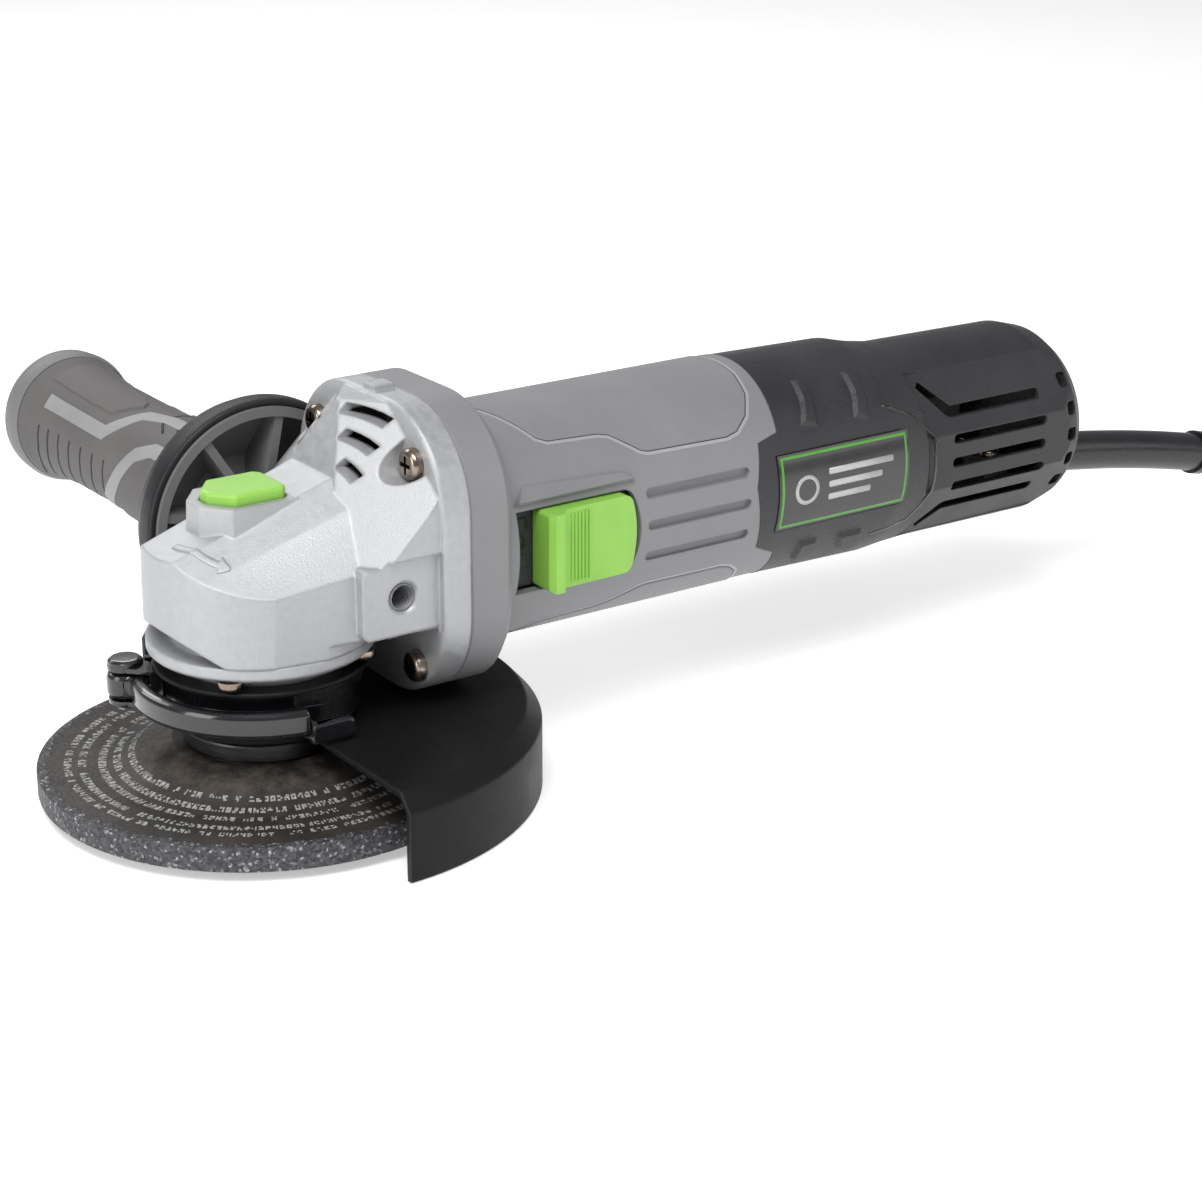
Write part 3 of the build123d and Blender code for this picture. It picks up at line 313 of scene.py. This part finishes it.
label_face = textured("label_face", (0.036, 0.034, 0.033), (0.026, 0.025, 0.025), 0.22, 1800.0, 0.00001,
                      cloud=60.0, coat=0.4, spread=0.05)
label_green = textured("label_green", (0.090, 0.36, 0.040), (0.075, 0.31, 0.034), 0.35, 1800.0, 0.00001,
                       cloud=90.0)
label_silver = textured("label_silver", (0.50, 0.50, 0.50), (0.42, 0.42, 0.42), 0.35, 1800.0, 0.00001,
                        metallic=0.3, cloud=90.0)
bronze = brushed("sintered_bronze", (0.55, 0.40, 0.22), (0.34, 0.24, 0.14), 0.42, (1, 1, 6))
copper = brushed("enamelled_copper", (0.62, 0.27, 0.12), (0.32, 0.12, 0.05), 0.3, (1, 20, 20), 0.00008)
iron = brushed("lamination_stack", (0.26, 0.27, 0.29), (0.13, 0.135, 0.15), 0.4, (40, 1, 1), 0.00008)
carbon = textured("carbon", (0.03, 0.03, 0.03), (0.015, 0.015, 0.015), 0.6, 1600.0, 0.00006)
abrasive = wheel_material()

FINISH = {
    "case_metal": cast, "screw_steel": nickel, "bearing_steel": bright_steel, "black_rubber": rubber,
    "sintered_bronze": bronze, "spindle_steel": turned_steel, "spring_steel": bright_steel,
    "abrasive": abrasive, "wheel_ring": bright_steel, "green_plastic": green,
    "black_steel": black_steel, "fan_plastic": carbon, "lamination": iron, "copper": copper,
    "carbon": carbon, "grey_plastic": grey_nylon, "black_plastic": black_nylon, "label": label_face,
    "light_plastic": light_nylon, "soft_grip": soft_grip,
}


def paint(obj, *materials):
    if len(obj.data.materials):
        obj.data.materials.clear()
    for material in materials:
        obj.data.materials.append(material)


def soften(obj, width, segments=2, clamp=True):
    """Rounds the sharp edges of a piece with a bevel and keeps its flats flat."""
    weld = obj.modifiers.new("weld", "WELD")
    weld.merge_threshold = WELD_DISTANCE
    bevel = obj.modifiers.new("edge", "BEVEL")
    bevel.width = width
    bevel.segments = segments
    bevel.limit_method = "ANGLE"
    bevel.angle_limit = SHARP_ANGLE
    bevel.use_clamp_overlap = clamp
    weighted = obj.modifiers.new("normals", "WEIGHTED_NORMAL")
    weighted.keep_sharp = True


for part in frame["record"]["subparts"]:
    paint(nodes[part["node"]], FINISH[part["material_slot"]])
paint(nodes["guard"], guard_steel)
paint(nodes["cord_sleeve"], sleeve_rubber)
paint(nodes["inner_flange"], dark_flange)

# ---- camera, light and floor ----
CAMERA_PLACE = (-0.2925, -0.5603, 0.28145)
azimuth = math.radians(-35.31)
elevation = math.radians(20.35)
roll = math.radians(0.24)
back = Vector((math.sin(azimuth) * math.cos(elevation), -math.cos(azimuth) * math.cos(elevation),
               math.sin(elevation)))
right = Vector((math.cos(azimuth), math.sin(azimuth), 0))
up = back.cross(right)
right, up = right * math.cos(roll) + up * math.sin(roll), up * math.cos(roll) - right * math.sin(roll)
camera = bpy.data.objects.new("camera", bpy.data.cameras.new("camera"))
bpy.context.collection.objects.link(camera)
camera.matrix_world = Matrix.Translation(CAMERA_PLACE) @ Matrix((right, up, back)).transposed().to_4x4()
camera.data.lens = 80.17
camera.data.sensor_width = 36.0
camera.data.clip_start = 0.01
bpy.context.scene.camera = camera

middle = (cad_box[0] + cad_box[1]) / 2


def area_light(name, place, size, power):
    """Rectangular light that points at the middle of the tool."""
    data = bpy.data.lights.new(name, "AREA")
    data.shape = "RECTANGLE"
    data.size, data.size_y = size
    data.energy = power
    light = bpy.data.objects.new(name, data)
    bpy.context.collection.objects.link(light)
    light.location = place
    light.rotation_euler = (middle - Vector(place)).to_track_quat("-Z", "Y").to_euler()


area_light("key", (-0.35, -0.45, 1.1), (0.8, 0.6), 12.5)
area_light("fill", (1.0, -0.9, 0.5), (0.9, 0.6), 2.3)
area_light("rim", (0.1, 1.1, 0.9), (1.2, 0.5), 6.5)
area_light("nose", (-1.1, -0.1, 0.40), (0.5, 0.7), 4.2)

world = bpy.data.worlds.new("studio")
bpy.context.scene.world = world
world.use_nodes = True
world.node_tree.nodes["Background"].inputs["Color"].default_value = (0.93, 0.94, 0.96, 1)
world.node_tree.nodes["Background"].inputs["Strength"].default_value = 0.33
bpy.context.scene.view_settings.view_transform = "Standard"


def mesh_piece(name, bm, body, material, bevel=0.0):
    """Finishes a bmesh as a piece that rides on a body."""
    mesh = bpy.data.meshes.new(name)
    bm.to_mesh(mesh)
    bm.free()
    obj = bpy.data.objects.new(name, mesh)
    bpy.context.collection.objects.link(obj)
    paint(obj, *(material if isinstance(material, tuple) else (material,)))
    if bevel:
        soften(obj, bevel)
    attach(obj, body)


def floor_sheet():
    """Pale floor just under the wheel, lit from within so that it reads as white as a studio sheet."""
    half_width = 12.0
    gap = 0.0002
    bm = bmesh.new()
    bmesh.ops.create_grid(bm, x_segments=8, y_segments=8, size=half_width)
    mesh = bpy.data.meshes.new("floor")
    bm.to_mesh(mesh)
    bm.free()
    floor = bpy.data.objects.new("floor", mesh)
    bpy.context.collection.objects.link(floor)
    floor.location.z = cad_box[0].z - gap
    m = Nodes("pale_floor")
    m.shader.inputs["Emission Color"].default_value = (1, 1, 1, 1)
    m.shader.inputs["Emission Strength"].default_value = 0.42
    paint(floor, m.finish(m.mix(m.noise(3.0, 3.0), (0.86, 0.86, 0.865), (0.90, 0.90, 0.90)),
                          m.ramp(m.noise(40.0), 0.3, 0.7, 0.75, 0.9)))


floor_sheet()

# ---- softened edges on the CAD solids ----
SOFTENED = {
    "bearing_plate": 0.0005, "motor_housing": 0.0006, "rear_shell_near": 0.0006, "rear_shell_far": 0.0006,
    "switch_slider": 0.0007, "lock_button": 0.0005, "guard": 0.0005, "clamp_band": 0.0004,
    "lever_rivet": 0.0006, "handle_core": 0.0006, "handle_ring": 0.0007, "handle_grip": 0.0006,
    "inner_flange": 0.0004, "lock_nut": 0.0004, "wheel": 0.0004, "cord_sleeve": 0.0005,
    "label_near": 0.0002, "label_far": 0.0002, "case_screws": 0.0003, "plate_screws": 0.0003,
}
for name, width in SOFTENED.items():
    soften(nodes[name], width, segments=3)
soften(nodes["clamp_lever"], 0.0017, segments=4, clamp=False)


# ---- details that follow a curved surface ----
def motor_surface(side, radius=BODY_R):
    """Grey housing: x along the motor, arc length up from the side, height above the surface."""
    def place(u, v, w):
        angle = v / radius
        return (u, side * (radius + w) * math.cos(angle), MOTOR_Z + (radius + w) * math.sin(angle))
    return place


def rear_surface(side):
    """Black housing, which narrows and drops towards the rear: (x, radius, axis height) along it."""
    sections = ((0.128, 0.031, 0.0585), (0.143, 0.031, 0.0584), (0.184, 0.0309, 0.0575),
                (0.192, 0.0296, 0.0568), (0.202, 0.0286, 0.0562), (0.249, 0.0284, 0.0557))

    def place(u, v, w):
        for (x0, r0, z0), (x1, r1, z1) in zip(sections, sections[1:]):
            if u <= x1:
                break
        t = (u - x0) / (x1 - x0)
        radius = r0 + (r1 - r0) * t + w
        angle = v / REAR_R
        return (u, side * radius * math.cos(angle), z0 + (z1 - z0) * t + radius * math.sin(angle))
    return place


def grip_surface(turn):
    """Soft grip of the side handle: y along it, arc length round it. The profile is (y, radius)."""
    profile = ((0.0542, 0.0150), (0.060, 0.0159), (0.085, 0.0164), (0.110, 0.0160), (0.135, 0.0162),
               (0.148, 0.0173), (0.1538, 0.0188))

    def place(u, v, w):
        for (y0, r0), (y1, r1) in zip(profile, profile[1:]):
            if u <= y1:
                break
        radius = r0 + (r1 - r0) * (u - y0) / (y1 - y0) + w
        angle = v / GRIP_R + turn
        return (HANDLE.x + radius * math.cos(angle), u, HANDLE.z + radius * math.sin(angle))
    return place


def arcs(points, radius):
    """(mm along, degrees round) to metres on the unrolled surface."""
    return [(u * MM, math.radians(angle) * radius) for u, angle in points]


def ribbon(points, width):
    """Outline of a strip of even width along a line of points."""
    sharpest = 0.4
    one_side, other_side = [], []
    for i, point in enumerate(points):
        here = Vector(point)
        before = (here - Vector(points[i - 1])).normalized() if i else None
        after = (Vector(points[i + 1]) - here).normalized() if i + 1 < len(points) else None
        along = ((before or after) + (after or before)).normalized()
        reach = width / 2 / max(sharpest, along.dot(after or before))
        across = Vector((-along.y, along.x)) * reach
        one_side.append(tuple(here + across))
        other_side.append(tuple(here - across))
    return one_side + other_side[::-1]


def round_corners(u0, u1, v0, v1, radius):
    """Outline of a rectangle with round corners."""
    steps = 4
    outline = []
    for u, v, start in ((u1 - radius, v1 - radius, 0), (u0 + radius, v1 - radius, 90),
                        (u0 + radius, v0 + radius, 180), (u1 - radius, v0 + radius, 270)):
        for i in range(steps + 1):
            a = math.radians(start + 90 * i / steps)
            outline.append((u + radius * math.cos(a), v + radius * math.sin(a)))
    return outline


def laid_on(name, outlines, surface, rings, body, materials, bevel=0.0, lift=None, along=None):
    """Plates that follow a surface.

    Rings are (inset, rise, material) from the rim inwards, and the last material is the top's. Lift
    raises the top by a height that depends on the place, and along lists cuts that let a plate bend."""
    bend_step = 0.0012
    bm = bmesh.new()
    for outline in outlines:
        face = bm.faces.new([bm.verts.new((u, v, -SUNK)) for u, v in outline])
        face.normal_update()
        if face.normal.z < 0:
            face.normal_flip()
        inner = [face]
        for inset, rise, index in rings:
            before = set(bm.faces) - set(inner)
            bmesh.ops.inset_region(bm, faces=inner, thickness=inset, depth=rise,
                                   use_boundary=True, use_even_offset=True)
            for new in set(bm.faces) - before - set(inner):
                new.material_index = index
        for top in inner:
            top.material_index = len(materials) - 1
    low = min(v.co.y for v in bm.verts)
    high = max(v.co.y for v in bm.verts)
    cuts = [((0, low + bend_step * i, 0), (0, 1, 0)) for i in range(1, int((high - low) / bend_step) + 1)]
    cuts += [((x, 0, 0), (1, 0, 0)) for x in (along or ())]
    for point, normal in cuts:
        bmesh.ops.bisect_plane(bm, geom=bm.verts[:] + bm.edges[:] + bm.faces[:], plane_co=point,
                               plane_no=normal, dist=1e-7)
    for vert in bm.verts:
        u, v, w = vert.co
        vert.co = surface(u, v, w + (lift(u, v) if lift and w > 0 else 0))
    bmesh.ops.recalc_face_normals(bm, faces=bm.faces[:])
    for face in bm.faces:
        face.smooth = True
    mesh_piece(name, bm, body, materials, bevel)


FLUSH = [(0.00003, 0.00038, 0)]         # a hair above the surface
PRINTED = (0.00003, 0.00036, 0)

# panels of the grey housing, as (mm along, degrees up from the side)
# from the rim inwards: the edge and a flat lip painted lighter as a highlight, a dark line of painted shade
# at the joint, and the raised panel
PANEL_RINGS = [(0.00006, 0.00036, 0), (0.0009, 0.0, 0), (0.00028, 0.0, 1), (0.0002, 0.00022, 2)]
upper_panel = [(57, 90), (60, 85), (70, 52.5), (73, 49), (88, 47.5), (91, 46), (98.5, 35), (101, 33.5),
               (127, 32.5), (131, 34.5), (136, 42), (140, 55), (141.5, 70), (141.5, 90)]
lower_panel = [(59, -90), (63, -62), (70, -49), (87, -46.5), (91, -43.5), (98.5, -35.5), (101, -34.5),
               (126, -35.2), (130, -37.5), (134, -44), (138, -62), (139, -90)]
for name, half, centre in (("housing_panel_upper", upper_panel, 90),
                           ("housing_panel_lower", lower_panel, -90)):
    whole = half + [(x, 2 * centre - angle) for x, angle in reversed(half[:-1])][:-1]
    laid_on(name, [arcs(whole, BODY_R)], motor_surface(-1), PANEL_RINGS, "housing",
            (painted_highlight_lip, painted_slit_and_joint_shade, grey_nylon, grey_nylon), 0.00006)

# bezel above the switch, which stands proud at the opening and runs out flush above it
BEZEL_FOOT = 22.2
BEZEL_SPAN = 10.0
BEZEL_RISE = 0.0016


def bezel_lift(u, v):
    share = (math.degrees(v / BODY_R) - BEZEL_FOOT) / BEZEL_SPAN
    return BEZEL_RISE * max(0.0, 1 - share)


bezel = [(57, BEZEL_FOOT), (94.1, 23.1), (94.6, 25), (91.3, 29.3), (61.1, 32.3)]
laid_on("switch_bezel", [arcs(bezel, BODY_R)], motor_surface(-1), [(0.0006, 0.00036, 0)], "housing",
        (grey_nylon, grey_nylon), 0.0002, lift=bezel_lift)

# labels with a green border and a plain ring-and-bars mark
RING_X = 0.1505
RING_R = 0.0042
BAR_START = 0.158
BAR_END = 0.181
BAR_SHORTER = 0.004
BAR_STEP = 0.0036
BAR_TOP = 0.0048
BAR_HEIGHT = 0.0018
border = round_corners(0.1418, 0.1862, -0.0102, 0.0102, 0.0008)
ring = [(RING_X + RING_R * math.cos(a), RING_R * math.sin(a)) for a in (i * math.pi / 16 for i in range(32))]
bars = [round_corners(BAR_START, BAR_END - BAR_SHORTER * i, BAR_TOP - BAR_HEIGHT - BAR_STEP * i,
                      BAR_TOP - BAR_STEP * i, 0.0005) for i in range(3)]
for side, end in ((-1, "near"), (1, "far")):
    top = motor_surface(side, LABEL_R)
    laid_on("label_border_" + end, [border], top, [(0.00003, 0.00034, 0), (0.00075, 0.0, 0)],
            "housing", (label_green, label_face))
    laid_on("label_mark_" + end, [ring], top, [PRINTED, (0.0011, 0.0, 0)],
            "housing", (label_silver, label_face))
    laid_on("label_bars_" + end, bars, top, [PRINTED], "housing", (label_silver, label_silver))

# ridges on the black housing, and its groove drawn as a flat glossy strip painted darker as the groove's
# shade
ridges = [[(155.4, 60), (160.8, 58.5), (159.6, 44), (157.4, 30), (151.2, 32.5), (154.3, 46)],
          [(173.1, 60), (179.0, 58), (177.8, 44), (175.2, 29), (169.6, 31.4), (172.4, 46)],
          [(151.5, -31), (158.5, -30), (160.5, -44), (156, -56), (152.5, -46)],
          [(165, -31), (174.5, -30.5), (178, -44), (174, -54), (168, -44)]]
groove = [(181, 36), (191.3, 29.5), (199, 17.1), (198.7, -15), (192.3, -33.5), (179, -38)]
RIDGE_BENDS = (0.160, 0.170, 0.180)
GROOVE_BENDS = (0.184, 0.188, 0.192, 0.196)
GROOVE_WIDTH = 0.0009
for side, end in ((-1, "near"), (1, "far")):
    laid_on("grip_ridges_" + end, [arcs(r, REAR_R) for r in ridges], rear_surface(side),
            [(0.0014, 0.0013, 0)], "housing", (black_nylon, black_nylon), 0.0003,
            along=RIDGE_BENDS)
    laid_on("grip_groove_" + end, [ribbon(arcs(groove, REAR_R), GROOVE_WIDTH)], rear_surface(side), FLUSH,
            "housing", (black_mark_and_groove_shade, black_mark_and_groove_shade), along=GROOVE_BENDS)

# stripes, pads and slits on the side handle, as (mm along, degrees round)
GRIP_BENDS = (0.060, 0.072, 0.085, 0.0975, 0.110, 0.1225, 0.135, 0.1415, 0.148)
SLIT_WIDTH = 0.0008
STRIPE_WIDTH = 0.0046
slits = [ribbon(arcs([(y, 168), (y + 1, 188), (y + 4, 210), (y + 8, 230)], GRIP_R), SLIT_WIDTH)
         for y in (101.5, 109, 116.5, 124, 131, 137.5, 143)]
slits += [ribbon(arcs([(y - 3, 116), (y + 3, 104), (y + 5, 78), (y + 5, 58)], GRIP_R), SLIT_WIDTH)
          for y in (66, 75, 84)]
stripe_lines = ([(143, 142), (107, 143.5), (101, 125), (96, 106), (86, 97), (60, 93)],
                [(58, 134), (78, 136), (85, 148), (95, 186), (104, 214), (108, 236)])
stripes = [ribbon(arcs(line, GRIP_R), STRIPE_WIDTH) for line in stripe_lines]
pads = [[(148.5, 123), (110, 125), (105.5, 112), (101, 99), (104, 88), (112, 78), (148.5, 72)],
        [(59, 152), (76, 153), (81, 164), (89, 190), (96, 214), (98, 234), (59, 234)]]
for turn, end in ((0.0, "front"), (math.pi, "back")):
    grip = grip_surface(turn)
    laid_on("grip_stripes_" + end, stripes, grip, [(0.0002, 0.0005, 0)], "housing",
            (inlay, inlay), 0.0001, along=GRIP_BENDS)
    laid_on("grip_pads_" + end, [arcs(p, GRIP_R) for p in pads], grip, [(0.0007, 0.0009, 0)], "housing",
            (soft_grip, soft_grip), 0.0003, along=GRIP_BENDS)
    # the slits are flat strips painted near-black as the shade inside them
    laid_on("grip_slits_" + end, slits, grip, FLUSH, "housing", (painted_slit_and_joint_shade, painted_slit_and_joint_shade),
            along=GRIP_BENDS)


# ---- small pieces ----
def circle(bm, centre, radius_x, radius_z, count):
    """Points of an ellipse round an axis along Y."""
    turns = [2 * math.pi * i / count for i in range(count)]
    return [bm.verts.new((centre[0] + radius_x * math.cos(a), centre[1], centre[2] + radius_z * math.sin(a)))
            for a in turns]


def bridge(bm, first, second):
    """Faces between two closed loops with the same number of points."""
    for i in range(len(first)):
        bm.faces.new((first[i - 1], first[i], second[i], second[i - 1]))


def thicken(bm, shift):
    """Makes a solid of a flat sheet."""
    raised = bmesh.ops.extrude_face_region(bm, geom=bm.faces[:])
    moved = [item for item in raised["geom"] if isinstance(item, bmesh.types.BMVert)]
    bmesh.ops.translate(bm, vec=shift, verts=moved)
    bmesh.ops.recalc_face_normals(bm, faces=bm.faces[:])


def switch_ribs():
    """Fine ribs behind the switch's thumb ridge."""
    first = Vector((0.0722, -0.03262, 0.058))
    spacing = 0.0011
    size = (0.0005, 0.0006, 0.0185, 1)
    bm = bmesh.new()
    for i in range(6):
        place = Matrix.Translation(first + Vector((spacing * i, 0, 0)))
        bmesh.ops.create_cube(bm, size=1, matrix=place @ Matrix.Diagonal(size))
    mesh_piece("switch_ribs", bm, "slider", green, 0.00015)


def switch_off_mark():
    """Oval ring on the dark plate in front of the slider."""
    centre = (0.0608, -0.02585, 0.0595)
    bm = bmesh.new()
    outer = circle(bm, centre, 0.0014, 0.0021, 24)
    inner = circle(bm, centre, 0.0009, 0.0016, 24)
    bridge(bm, outer, inner)
    thicken(bm, (0, -0.0002, 0))
    mesh_piece("switch_off_mark", bm, "housing", black_mark_and_groove_shade)


def handle_hole_thread():
    """Thread in the free handle hole, on the switch's side."""
    start = -0.0326
    half_pitch = 0.000625
    crest, root = 0.00315, 0.00362
    bm = bmesh.new()
    loops = [circle(bm, (HANDLE.x, start + half_pitch * i, HANDLE.z), radius, radius, 40)
             for i, radius in enumerate([crest, root] * 10 + [crest])]
    for first, second in zip(loops, loops[1:]):
        bridge(bm, first, second)
    mesh_piece("handle_hole_thread", bm, "housing", cast)


def nose_arrow():
    """Rotation arrow raised on the nose: a curved shaft, then a head that narrows to a point."""
    bend_radius = 0.0232
    above = 0.0005
    depth = 0.0008
    ray_height = 0.2
    shaft = [(184 + 2.0 * i, 0.0008) for i in range(18)]
    head = [(219.2, 0.0020), (222.5, 0.0012), (226, 0.0003)]
    case_tree = BVHTree.FromObject(nodes["gear_case"], bpy.context.evaluated_depsgraph_get())
    bm = bmesh.new()
    rows = []
    for degrees, half_width in shaft + head:
        angle = math.radians(degrees)
        row = []
        for share in (-1, -0.33, 0.33, 1):
            reach = bend_radius + share * half_width
            start = Vector((reach * math.cos(angle), reach * math.sin(angle), ray_height))
            hit = case_tree.ray_cast(start, Vector((0, 0, -1)))[0]
            row.append(bm.verts.new(hit + Vector((0, 0, above))))
        rows.append(row)
    for a, b in zip(rows, rows[1:]):
        for k in range(3):
            bm.faces.new((a[k], a[k + 1], b[k + 1], b[k]))
    thicken(bm, (0, 0, -depth))
    mesh_piece("nose_arrow", bm, "housing", cast)


switch_ribs()
switch_off_mark()
handle_hole_thread()
nose_arrow()
